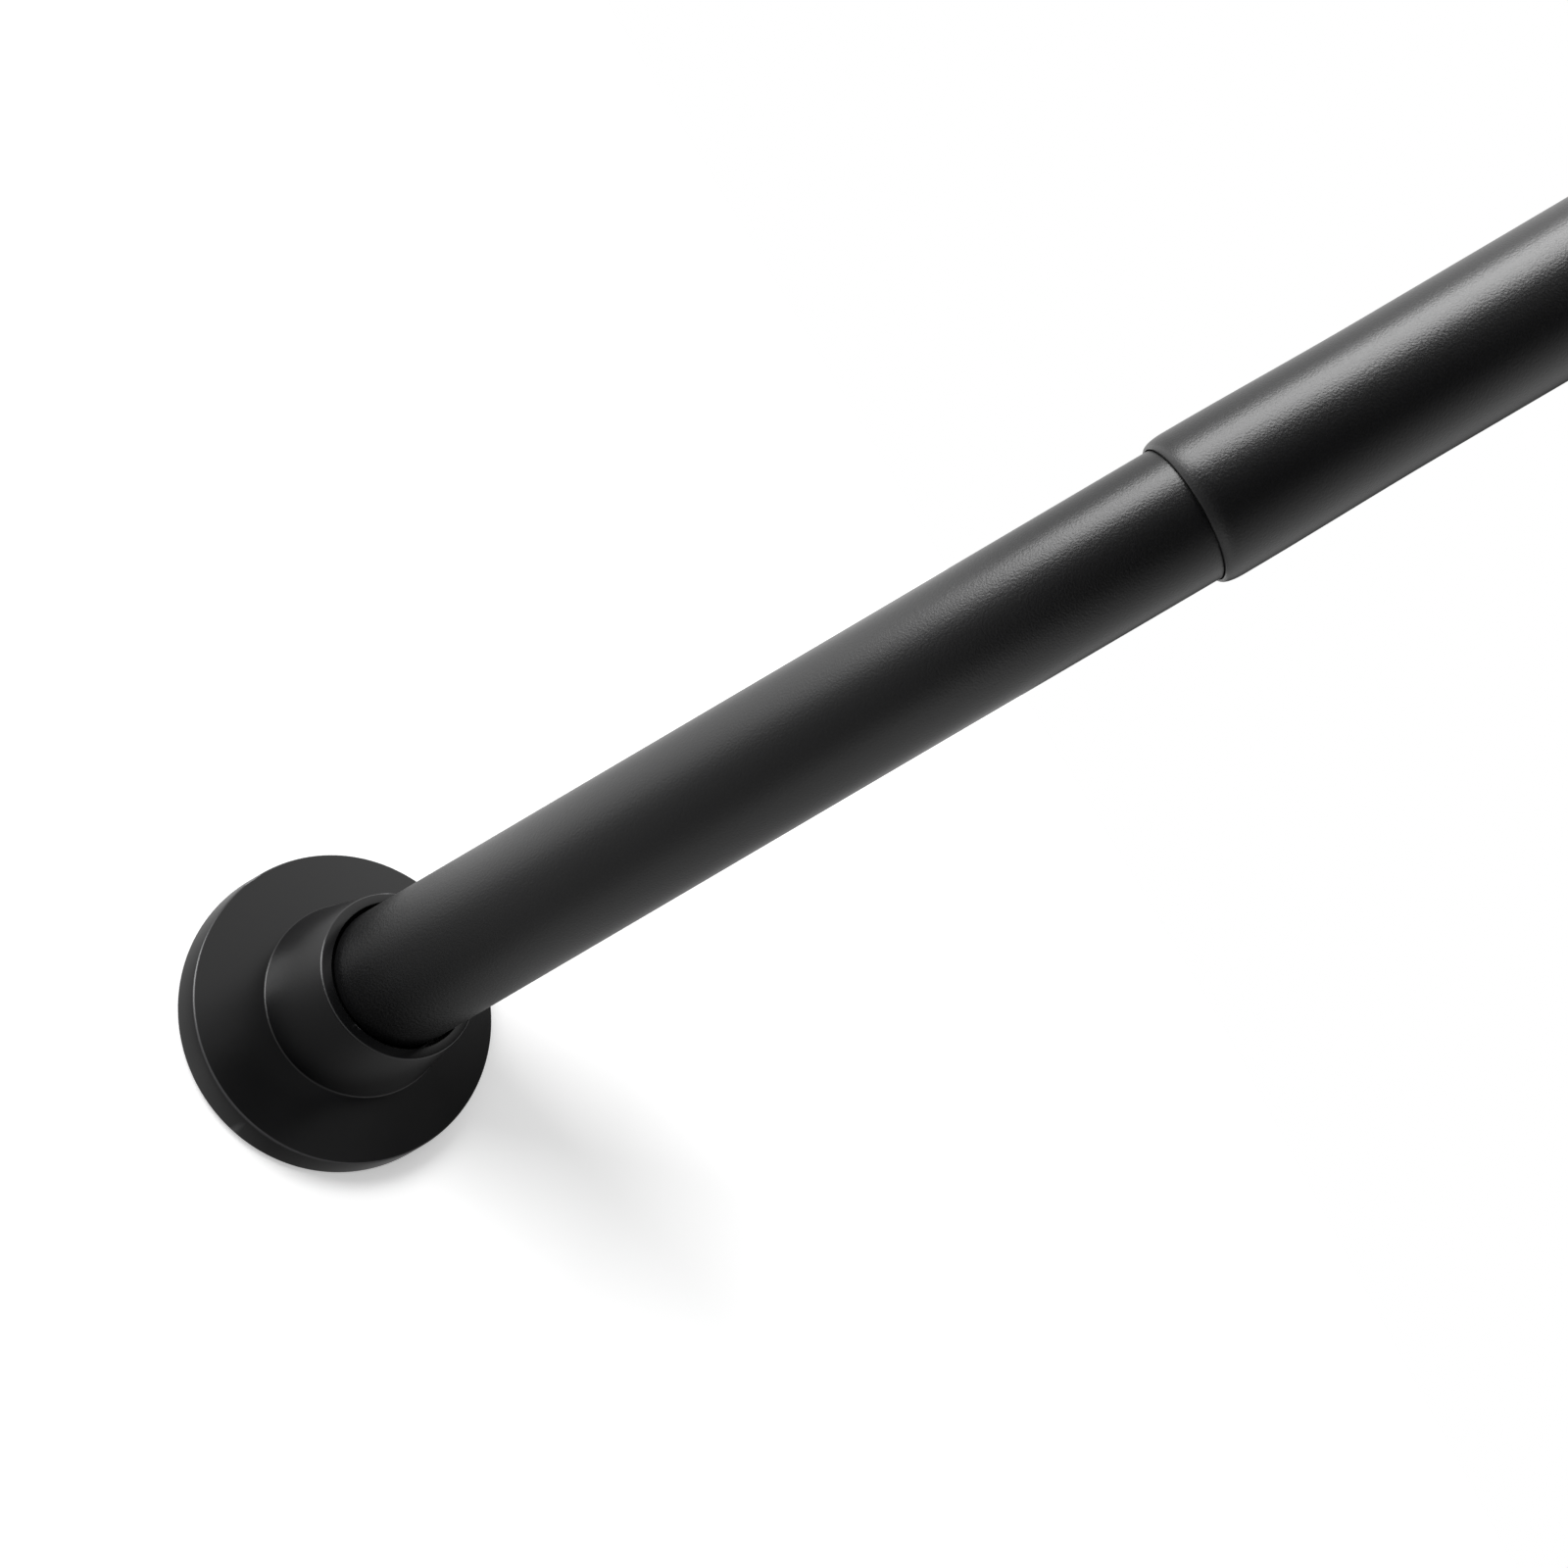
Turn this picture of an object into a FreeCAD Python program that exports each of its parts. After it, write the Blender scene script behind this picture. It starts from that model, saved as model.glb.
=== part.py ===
import FreeCAD, Part
import math
import os

# A spring tension rod, lying along +X between two walls, with +Z up and the origin at the middle of the
# left wall face. Lengths are in millimetres. "Along" is the distance from the left wall. The two ends are
# built alike, from a distance measured from their own wall, and the right one is turned round.

# The whole rod as it is set
ROD_LENGTH = 740.0
OUTER_MOUTH_ALONG = 147.0
INNER_TUBE_LENGTH = 440.0

# Tubes: the outer one slides over the inner one
INNER_TUBE_DIAMETER = 22.0
INNER_TUBE_WALL = 0.8
OUTER_TUBE_WALL = 0.6
TUBE_GAP = 0.2
MOUTH_SWELL = 0.4
MOUTH_SWELL_LENGTH = 37.0
MOUTH_LIP_LENGTH = 3.0
MOUTH_LIP_WALL = 0.25
TUBE_EDGE_BREAK = 0.15

# Crimps: a ring rolled into each tube that holds a plug
CRIMP_DEPTH = 0.5
CRIMP_WIDTH = 2.4

# Rubber pads in the backs of the flanges
PAD_DIAMETER = 40.0
PAD_THICKNESS = 1.4
PAD_PROUD = 0.5
PAD_FIT = 0.1
PAD_RING_WIDTH = 1.2
PAD_RING_DEPTH = 0.4
PAD_RING_PITCH = 4.0
PAD_RINGS = 3

# Wall flanges
FLANGE_BORDER = 3.6
FLANGE_DIAMETER = PAD_DIAMETER + 2 * (PAD_FIT + FLANGE_BORDER)
FLANGE_RIM = 2.5
FLANGE_EDGE_BREAK = 0.35
COLLAR_REACH = 9.5
COLLAR_LIP = 1.5
COLLAR_EDGE_BREAK = 0.35
COLLAR_GAP = 0.6
COLLAR_TAPER_DEGREES = 15.0
COLLAR_FOOT_ROUND = 0.8
FLANGE_WEB = 1.5

# Pivot screws and their washers
SCREW_DIAMETER = 4.0
SCREW_LENGTH = 14.0
SCREW_HEAD_DIAMETER = 7.6
SCREW_HEAD_HEIGHT = 1.6
SCREW_HEAD_BREAK = 0.6
SCREW_RECESS_LENGTH = 4.2
SCREW_RECESS_WIDTH = 0.9
SCREW_RECESS_DEPTH = 1.0
WASHER_DIAMETER = 8.6
WASHER_THICKNESS = 0.5
WASHER_FIT = 0.15
HEAD_RECESS_ROOM = 0.2
PIVOT_FIT = 0.08
THREAD_FIT = 0.03
END_FLOAT = 0.2

# Nylon plugs in the tubes' outer ends
PLUG_SHOULDER = 1.2
PLUG_LENGTH = 18.0
PLUG_FIT = 0.05
PLUG_SKIN = 1.5
PLUG_BOSS_DIAMETER = 9.0
PLUG_FLOOR = 3.0
PLUG_RIB = 1.6
PLUG_RIBS = 4
PLUG_CRIMP_ALONG = 1.9

# Guide bush in the inner tube's inner end
BUSH_LENGTH = 22.0
BUSH_SHOULDER = 3.0
BUSH_LEAD_IN = 0.6
BUSH_EDGE_BREAK = 0.3
BUSH_CRIMP_FROM_END = 8.0

# Spindle: hexagon stem through the bush, spring collar, round stem, thread
HEX_ACROSS_FLATS = 7.0
HEX_FIT = 0.1
SPRING_SET_LENGTH = 62.0
SPINDLE_COLLAR_DIAMETER = 17.0
SPINDLE_COLLAR_LENGTH = 5.0
STEM_DIAMETER = 7.0
THREAD_DIAMETER = 6.0
SPINDLE_END_BREAK = 0.6

# Nuts on the spindle
NUT_ACROSS_FLATS = 10.0
NUT_THICKNESS = 6.0
NUT_CHAMFER = 0.5
STOP_GAP = 0.2

# Washers on the spindle
STOP_WASHER_DIAMETER = 15.0
SPRING_WASHER_DIAMETER = 19.0
SPINDLE_WASHER_THICKNESS = 1.0
SPINDLE_WASHER_FIT = 0.2

# Coil spring with closed ends
WIRE_DIAMETER = 1.5
WIRE_SIDES = 6
SPRING_DIAMETER = 16.0
SPRING_ACTIVE_TURNS = 6
SPRING_END_TURNS = 1
POINTS_PER_TURN = 8

# Expander sleeve: a slotted nylon collet with gripping rings
SLEEVE_LENGTH = 32.0
SLEEVE_FIT = 0.1
SLEEVE_RING = 6.0
SLEEVE_BORE_FIT = 0.1
SLEEVE_THROAT_DIAMETER = 11.6
SLEEVE_MOUTH_DIAMETER = 18.6
SLEEVE_CLIP_ROOM = 4.0
SLEEVE_SLOTS = 4
SLEEVE_SLOT_WIDTH = 2.6
SLEEVE_GROOVES = 4
SLEEVE_GROOVE_WIDTH = 1.4
SLEEVE_GROOVE_DEPTH = 0.5
SLEEVE_GROOVE_PITCH = 5.0
SLEEVE_END_GAP = 0.2

# Retaining ring that keeps the sleeve on the spindle
CLIP_DIAMETER = 10.6
CLIP_THICKNESS = 0.8
CLIP_OPENING = 5.0
CLIP_GROOVE_DIAMETER = 6.2
CLIP_FIT = 0.05

# Cone that is screwed into the sleeve
CONE_GAP = 0.2
CONE_IN_SLEEVE = 18.0
CONE_HEAD_LENGTH = 4.0
CONE_HEAD_DIAMETER = 20.4
CONE_KEY_SIDE_GAP = 0.25
CONE_KEY_PROUD = 0.9
CONE_BACK_OFF = 2.1

AXIS = FreeCAD.Vector(1, 0, 0)
ORIGIN = FreeCAD.Vector(0, 0, 0)

# Radii of the tubes, which many pieces share
INNER_TUBE_RADIUS = INNER_TUBE_DIAMETER / 2
INNER_BORE_RADIUS = INNER_TUBE_RADIUS - INNER_TUBE_WALL
OUTER_BORE_RADIUS = INNER_TUBE_RADIUS + TUBE_GAP
OUTER_TUBE_RADIUS = OUTER_BORE_RADIUS + OUTER_TUBE_WALL


def turned(*outline):
    """Solid turned about the rod's axis from a closed outline of (along, radius) corners."""
    corners = [FreeCAD.Vector(along, 0, radius) for along, radius in outline]
    face = Part.Face(Part.makePolygon(corners + corners[:1]))
    return face.revolve(ORIGIN, AXIS, 360)


def ring(start, end, inner_radius, outer_radius):
    """Plain ring, such as a washer."""
    return turned((start, inner_radius), (start, outer_radius), (end, outer_radius), (end, inner_radius))


def rod(start, end, radius):
    """Plain round rod."""
    return Part.makeCylinder(radius, end - start, FreeCAD.Vector(start, 0, 0), AXIS)


def hexagon(start, end, across_flats):
    """Hexagon bar with two of its flats level."""
    corner = across_flats / math.sqrt(3)
    angles = [math.radians(60 * side) for side in range(7)]
    corners = [FreeCAD.Vector(start, corner * math.cos(a), corner * math.sin(a)) for a in angles]
    return Part.Face(Part.makePolygon(corners)).extrude(AXIS * (end - start))


def block(start, end, width, low, high, angle=0.0):
    """Box along the rod, `width` across, reaching from `low` to `high` from the axis, turned by `angle`."""
    box = Part.makeBox(end - start, width, high - low, FreeCAD.Vector(start, -width / 2, low))
    return box.rotated(ORIGIN, AXIS, angle)


def circle_at(solid, along, radius):
    """The circular edge of a turned solid at one place and radius."""
    for edge in solid.Edges:
        curve = edge.Curve
        if not isinstance(curve, Part.Circle):
            continue
        if abs(curve.Center.x - along) < 1e-4 and abs(curve.Radius - radius) < 1e-4:
            return edge
    raise ValueError("no circle at %.3f with radius %.3f" % (along, radius))


def rounded(solid, size, *places):
    """Rounds the circular edges at the given (along, radius) places."""
    return solid.makeFillet(size, [circle_at(solid, along, radius) for along, radius in places])


def chamfered(solid, size, *places):
    """Breaks the circular edges at the given (along, radius) places with a flat."""
    return solid.makeChamfer(size, [circle_at(solid, along, radius) for along, radius in places])


# Places along each end, measured from its own wall face
PAD_SEAT = PAD_THICKNESS
FLANGE_BACK = PAD_PROUD
FLANGE_FRONT = FLANGE_BACK + FLANGE_RIM
COLLAR_MOUTH = FLANGE_BACK + COLLAR_REACH
HEAD_TOP = PAD_SEAT + HEAD_RECESS_ROOM
HEAD_SEAT = HEAD_TOP + SCREW_HEAD_HEIGHT
WEB_BACK = HEAD_SEAT + WASHER_THICKNESS + END_FLOAT / 2
WEB_FRONT = WEB_BACK + FLANGE_WEB
PLUG_FACE = WEB_FRONT + END_FLOAT / 2
TUBE_END = PLUG_FACE + PLUG_SHOULDER
PLUG_END = TUBE_END + PLUG_LENGTH
PLUG_CRIMP = TUBE_END + PLUG_CRIMP_ALONG


def flange(tube_radius):
    """Round wall flange: flat disc and tapered collar in one, with a web that the pivot screw goes through."""
    disc_radius = FLANGE_DIAMETER / 2
    pad_hole = PAD_DIAMETER / 2 + PAD_FIT
    head_hole = WASHER_DIAMETER / 2 + HEAD_RECESS_ROOM
    screw_hole = SCREW_DIAMETER / 2 + PIVOT_FIT
    bore = tube_radius + COLLAR_GAP
    mouth = bore + COLLAR_LIP
    foot = mouth + (COLLAR_MOUTH - FLANGE_FRONT) * math.tan(math.radians(COLLAR_TAPER_DEGREES))
    body = turned(
        (FLANGE_BACK, pad_hole),
        (FLANGE_BACK, disc_radius),
        (FLANGE_FRONT, disc_radius),
        (FLANGE_FRONT, foot),
        (COLLAR_MOUTH, mouth),
        (COLLAR_MOUTH, bore),
        (WEB_FRONT, bore),
        (WEB_FRONT, screw_hole),
        (WEB_BACK, screw_hole),
        (WEB_BACK, head_hole),
        (PAD_SEAT, head_hole),
        (PAD_SEAT, pad_hole),
    )
    body = rounded(body, COLLAR_FOOT_ROUND, (FLANGE_FRONT, foot))
    body = chamfered(body, FLANGE_EDGE_BREAK, (FLANGE_FRONT, disc_radius), (FLANGE_BACK, disc_radius))
    return chamfered(body, COLLAR_EDGE_BREAK, (COLLAR_MOUTH, mouth))


def wall_pad():
    """Rubber pad let into the flange's back, with grip rings cut in its wall face."""
    pad = rod(0, PAD_SEAT, PAD_DIAMETER / 2)
    for number in range(PAD_RINGS):
        outside = PAD_DIAMETER / 2 - PAD_RING_PITCH * (number + 0.5)
        pad = pad.cut(ring(0, PAD_RING_DEPTH, outside - PAD_RING_WIDTH, outside))
    return pad


def pivot_washer():
    """Steel washer between the screw's head and the flange's web."""
    hole = SCREW_DIAMETER / 2 + WASHER_FIT
    return ring(HEAD_SEAT, HEAD_SEAT + WASHER_THICKNESS, hole, WASHER_DIAMETER / 2)


def pivot_screw():
    """Pan head screw with a cross recess, on which the flange swivels."""
    head_radius = SCREW_HEAD_DIAMETER / 2
    head = chamfered(rod(HEAD_TOP, HEAD_SEAT, head_radius), SCREW_HEAD_BREAK, (HEAD_TOP, head_radius))
    shank = rod(HEAD_SEAT, HEAD_SEAT + SCREW_LENGTH, SCREW_DIAMETER / 2)
    screw = head.fuse(shank)
    reach = SCREW_RECESS_LENGTH / 2
    for angle in (0, 90):
        slot = block(HEAD_TOP, HEAD_TOP + SCREW_RECESS_DEPTH, SCREW_RECESS_WIDTH, -reach, reach, angle)
        screw = screw.cut(slot)
    return screw.removeSplitter()


def end_plug(tube_radius, bore_radius):
    """Nylon plug in a tube's end: shoulder, thin skin, ribs and a boss for the pivot screw."""
    skin_outside = bore_radius - PLUG_FIT
    skin_inside = skin_outside - PLUG_SKIN
    boss = PLUG_BOSS_DIAMETER / 2
    screw_hole = SCREW_DIAMETER / 2 + THREAD_FIT
    floor = TUBE_END + PLUG_FLOOR
    body = turned(
        (PLUG_FACE, screw_hole),
        (PLUG_FACE, tube_radius),
        (TUBE_END, tube_radius),
        (TUBE_END, skin_outside),
        *crimp_steps(PLUG_CRIMP, skin_outside, 1),
        (PLUG_END, skin_outside),
        (PLUG_END, skin_inside),
        (floor, skin_inside),
        (floor, boss),
        (PLUG_END, boss),
        (PLUG_END, screw_hole),
    )
    body = chamfered(body, PLUG_SKIN / 3, (PLUG_END, skin_outside))
    overlap = PLUG_SKIN / 2
    for number in range(PLUG_RIBS):
        angle = 360.0 * number / PLUG_RIBS
        rib = block(floor, PLUG_END, PLUG_RIB, boss - overlap, skin_inside + overlap, angle)
        body = body.fuse(rib)
    return body.removeSplitter()


def crimp_steps(middle, radius, direction):
    """Corners of a rolled ring groove in a surface of the given radius, in the order of `direction`."""
    half = CRIMP_WIDTH / 2
    steps = [
        (middle - half, radius),
        (middle - half / 2, radius - CRIMP_DEPTH),
        (middle + half / 2, radius - CRIMP_DEPTH),
        (middle + half, radius),
    ]
    return steps if direction > 0 else steps[::-1]


def place_right(shape):
    """Turns a piece of the right end round, to face its own wall."""
    turned_round = shape.rotated(ORIGIN, FreeCAD.Vector(0, 0, 1), 180)
    turned_round.translate(FreeCAD.Vector(ROD_LENGTH, 0, 0))
    return turned_round


# Places along the rod of what the inner tube's inner end carries
INNER_END = TUBE_END + INNER_TUBE_LENGTH
BUSH_START = INNER_END - BUSH_LENGTH
BUSH_FACE = INNER_END + BUSH_SHOULDER
BUSH_CRIMP = INNER_END - BUSH_CRIMP_FROM_END
STOP_WASHER_SEAT = BUSH_START - STOP_GAP
STOP_NUT_SEAT = STOP_WASHER_SEAT - SPINDLE_WASHER_THICKNESS
SPINDLE_START = STOP_NUT_SEAT - NUT_THICKNESS - SPINDLE_END_BREAK
SPRING_START = BUSH_FACE + SPINDLE_WASHER_THICKNESS
SPRING_END = SPRING_START + SPRING_SET_LENGTH
COLLAR_START = SPRING_END + SPINDLE_WASHER_THICKNESS
COLLAR_END = COLLAR_START + SPINDLE_COLLAR_LENGTH
THRUST_END = COLLAR_END + SPINDLE_WASHER_THICKNESS
SLEEVE_START = THRUST_END + SLEEVE_END_GAP
SLEEVE_RING_END = SLEEVE_START + SLEEVE_RING
SLEEVE_END = SLEEVE_START + SLEEVE_LENGTH
CLIP_START = SLEEVE_RING_END + SLEEVE_END_GAP
CLIP_END = CLIP_START + CLIP_THICKNESS
CONE_TIP = SLEEVE_END - CONE_IN_SLEEVE
CONE_END = SLEEVE_END + CONE_KEY_SIDE_GAP + CONE_BACK_OFF / 2 + CONE_HEAD_LENGTH
CONE_STOP = CONE_END + CONE_BACK_OFF + STOP_GAP
SPINDLE_END = CONE_STOP + NUT_THICKNESS + SPINDLE_END_BREAK


def inner_tube():
    """Narrow steel tube, with one crimp over the end plug and one over the guide bush."""
    tube = turned(
        (TUBE_END, INNER_BORE_RADIUS),
        (TUBE_END, INNER_TUBE_RADIUS),
        *crimp_steps(PLUG_CRIMP, INNER_TUBE_RADIUS, 1),
        *crimp_steps(BUSH_CRIMP, INNER_TUBE_RADIUS, 1),
        (INNER_END, INNER_TUBE_RADIUS),
        (INNER_END, INNER_BORE_RADIUS),
        *crimp_steps(BUSH_CRIMP, INNER_BORE_RADIUS, -1),
        *crimp_steps(PLUG_CRIMP, INNER_BORE_RADIUS, -1),
    )
    return chamfered(tube, TUBE_EDGE_BREAK, (TUBE_END, INNER_TUBE_RADIUS), (INNER_END, INNER_TUBE_RADIUS))


def outer_tube():
    """Wide steel tube. Its mouth swells a little and is rolled in to a round lip round the inner tube."""
    end = ROD_LENGTH - TUBE_END
    crimp = ROD_LENGTH - PLUG_CRIMP
    lip_radius = OUTER_TUBE_RADIUS + MOUTH_SWELL
    face_radius = OUTER_BORE_RADIUS + MOUTH_LIP_WALL
    lip_end = OUTER_MOUTH_ALONG + MOUTH_LIP_LENGTH
    swell_end = OUTER_MOUTH_ALONG + MOUTH_SWELL_LENGTH
    outside = [
        (swell_end, OUTER_TUBE_RADIUS),
        *crimp_steps(crimp, OUTER_TUBE_RADIUS, 1),
        (end, OUTER_TUBE_RADIUS),
        (end, OUTER_BORE_RADIUS),
        *crimp_steps(crimp, OUTER_BORE_RADIUS, -1),
        (OUTER_MOUTH_ALONG, OUTER_BORE_RADIUS),
        (OUTER_MOUTH_ALONG, face_radius),
    ]
    corners = [FreeCAD.Vector(along, 0, radius) for along, radius in outside]
    face_corner = corners[-1]
    lip_corner = FreeCAD.Vector(lip_end, 0, lip_radius)
    lip = rounded_lip(face_corner, lip_corner)
    swell = Part.LineSegment(lip_corner, corners[0]).toShape()
    wire = Part.Wire([*Part.makePolygon(corners).Edges, lip, swell])
    return Part.Face(wire).revolve(ORIGIN, AXIS, 360)


def rounded_lip(face_corner, lip_corner):
    """Quarter of an ellipse from the mouth's face up to the full radius, as an edge."""
    length = lip_corner.x - face_corner.x
    height = lip_corner.z - face_corner.z
    centre = FreeCAD.Vector(lip_corner.x, 0, face_corner.z)
    ellipse = Part.Ellipse(centre - AXIS * length, centre + FreeCAD.Vector(0, 0, height), centre)
    start = ellipse.parameter(face_corner)
    end = ellipse.parameter(lip_corner)
    return Part.Edge(ellipse, *sorted((start, end)))


def guide_bush():
    """Nylon bush in the inner tube's end, with a hexagon bore that stops the spindle from turning in it."""
    body_radius = INNER_BORE_RADIUS - PLUG_FIT
    bush = turned(
        (BUSH_START, 0),
        (BUSH_START, body_radius),
        *crimp_steps(BUSH_CRIMP, body_radius, 1),
        (INNER_END, body_radius),
        (INNER_END, INNER_TUBE_RADIUS),
        (BUSH_FACE, INNER_TUBE_RADIUS),
        (BUSH_FACE, 0),
    )
    bush = chamfered(bush, BUSH_LEAD_IN, (BUSH_START, body_radius))
    bush = chamfered(bush, BUSH_EDGE_BREAK, (BUSH_FACE, INNER_TUBE_RADIUS))
    return bush.cut(hexagon(BUSH_START, BUSH_FACE, HEX_ACROSS_FLATS + 2 * HEX_FIT))


def spindle():
    """Steel spindle: threaded start, hexagon stem, spring collar, round stem with a clip groove, thread."""
    thread = THREAD_DIAMETER / 2
    stem = STEM_DIAMETER / 2
    groove = CLIP_GROOVE_DIAMETER / 2
    collar = SPINDLE_COLLAR_DIAMETER / 2
    body = turned(
        (SPINDLE_START, 0),
        (SPINDLE_START, thread - SPINDLE_END_BREAK),
        (SPINDLE_START + SPINDLE_END_BREAK, thread),
        (STOP_WASHER_SEAT, thread),
        (STOP_WASHER_SEAT, 0),
    )
    body = body.fuse(hexagon(STOP_WASHER_SEAT, COLLAR_START, HEX_ACROSS_FLATS))
    front = turned(
        (COLLAR_START, 0),
        (COLLAR_START, collar),
        (COLLAR_END, collar),
        (COLLAR_END, stem),
        (CLIP_START - CLIP_FIT, stem),
        (CLIP_START - CLIP_FIT, groove),
        (CLIP_END + CLIP_FIT, groove),
        (CLIP_END + CLIP_FIT, thread),
        (SPINDLE_END - SPINDLE_END_BREAK, thread),
        (SPINDLE_END, thread - SPINDLE_END_BREAK),
        (SPINDLE_END, 0),
    )
    front = chamfered(front, SPINDLE_END_BREAK, (COLLAR_START, collar), (COLLAR_END, collar))
    return body.fuse(front).removeSplitter()


def nut(seat, direction):
    """Lock nut with chamfered corners, standing from its seat in the given direction along the rod."""
    start, end = sorted((seat, seat + direction * NUT_THICKNESS))
    corner = NUT_ACROSS_FLATS / math.sqrt(3)
    envelope = chamfered(rod(start, end, corner), NUT_CHAMFER, (start, corner), (end, corner))
    body = hexagon(start, end, NUT_ACROSS_FLATS).common(envelope)
    return body.cut(rod(start, end, THREAD_DIAMETER / 2 + THREAD_FIT))


def spindle_washer(start, hole_diameter, diameter):
    """Flat steel washer on the spindle."""
    hole = hole_diameter / 2 + SPINDLE_WASHER_FIT
    return ring(start, start + SPINDLE_WASHER_THICKNESS, hole, diameter / 2)


def coil_spring():
    """Compression spring with closed end turns. Its wire is drawn with flats, to keep the surface light."""
    turns = SPRING_ACTIVE_TURNS + 2 * SPRING_END_TURNS
    closed_rise = WIRE_DIAMETER * 1.02
    height = SPRING_SET_LENGTH - WIRE_DIAMETER
    open_rise = (height - 2 * SPRING_END_TURNS * closed_rise) / SPRING_ACTIVE_TURNS
    steps = turns * POINTS_PER_TURN
    radius = (SPRING_DIAMETER - WIRE_DIAMETER) / 2
    along = SPRING_START + WIRE_DIAMETER / 2
    points = []
    for step in range(steps + 1):
        turn = step / POINTS_PER_TURN
        angle = 2 * math.pi * turn
        points.append(FreeCAD.Vector(along, radius * math.cos(angle), radius * math.sin(angle)))
        open_here = SPRING_END_TURNS <= turn < turns - SPRING_END_TURNS
        along += (open_rise if open_here else closed_rise) / POINTS_PER_TURN
    path = Part.BSplineCurve()
    path.interpolate(points)
    start = points[0]
    towards = path.tangent(path.FirstParameter)[0]
    outwards = (start - AXIS * start.x).normalize() * (WIRE_DIAMETER / 2)
    corners = []
    for side in range(WIRE_SIDES + 1):
        turn_by = FreeCAD.Rotation(towards, 360.0 * (side + 0.5) / WIRE_SIDES)
        corners.append(start + turn_by.multVec(outwards))
    section = Part.makePolygon(corners)
    return Part.Wire(path.toShape()).makePipeShell([section], True, True)


def jaw_radius(along):
    """Radius of the sleeve's tapered bore at one place."""
    throat_end = SLEEVE_RING_END + SLEEVE_CLIP_ROOM
    share = (along - throat_end) / (SLEEVE_END - throat_end)
    return (SLEEVE_THROAT_DIAMETER + share * (SLEEVE_MOUTH_DIAMETER - SLEEVE_THROAT_DIAMETER)) / 2


def expander_sleeve():
    """Nylon collet: a ring that turns on the spindle, and slotted jaws with gripping rings outside."""
    outside = OUTER_BORE_RADIUS - SLEEVE_FIT
    hole = STEM_DIAMETER / 2 + SLEEVE_BORE_FIT
    throat = SLEEVE_THROAT_DIAMETER / 2
    throat_end = SLEEVE_RING_END + SLEEVE_CLIP_ROOM
    sleeve = turned(
        (SLEEVE_START, hole),
        (SLEEVE_START, outside),
        (SLEEVE_END, outside),
        (SLEEVE_END, jaw_radius(SLEEVE_END)),
        (throat_end, throat),
        (SLEEVE_RING_END, throat),
        (SLEEVE_RING_END, hole),
    )
    sleeve = chamfered(sleeve, SLEEVE_GROOVE_DEPTH, (SLEEVE_START, outside), (SLEEVE_END, outside))
    for number in range(SLEEVE_GROOVES):
        start = SLEEVE_RING_END + SLEEVE_GROOVE_PITCH * (number + 0.5)
        groove = ring(start, start + SLEEVE_GROOVE_WIDTH, outside - SLEEVE_GROOVE_DEPTH, outside * 1.1)
        sleeve = sleeve.cut(groove)
    for number in range(SLEEVE_SLOTS):
        angle = 360.0 * number / SLEEVE_SLOTS
        slot = block(SLEEVE_RING_END, SLEEVE_END, SLEEVE_SLOT_WIDTH, 0, outside * 1.1, angle)
        sleeve = sleeve.cut(slot)
    return sleeve


def sleeve_clip():
    """Open retaining ring in the spindle's groove."""
    hole = CLIP_GROOVE_DIAMETER / 2 + CLIP_FIT
    clip = ring(CLIP_START, CLIP_END, hole, CLIP_DIAMETER / 2)
    return clip.cut(block(CLIP_START, CLIP_END, CLIP_OPENING, 0, CLIP_DIAMETER))


def cone_nut():
    """Cone on the spindle's thread, with a wide head, and keys that run in the sleeve's slots."""
    hole = THREAD_DIAMETER / 2 + SLEEVE_BORE_FIT
    head = CONE_HEAD_DIAMETER / 2
    head_start = CONE_END - CONE_HEAD_LENGTH
    tip_radius = jaw_radius(CONE_TIP) - CONE_GAP
    end_radius = jaw_radius(SLEEVE_END) - CONE_GAP
    cone = turned(
        (CONE_TIP, hole),
        (CONE_TIP, tip_radius),
        (SLEEVE_END, end_radius),
        (head_start, end_radius),
        (head_start, head),
        (CONE_END, head),
        (CONE_END, hole),
    )
    cone = chamfered(cone, CONE_HEAD_LENGTH / 8, (CONE_END, head))
    width = SLEEVE_SLOT_WIDTH - 2 * CONE_KEY_SIDE_GAP
    for number in range(SLEEVE_SLOTS):
        angle = 360.0 * number / SLEEVE_SLOTS
        key = block(CONE_TIP, head_start, width, tip_radius / 2 + hole / 2, end_radius + CONE_KEY_PROUD, angle)
        cone = cone.fuse(key)
    return cone.removeSplitter()


def save(name, shape):
    """Writes one piece to its own file."""
    shape.exportStep("parts/%s.step" % name)


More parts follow.
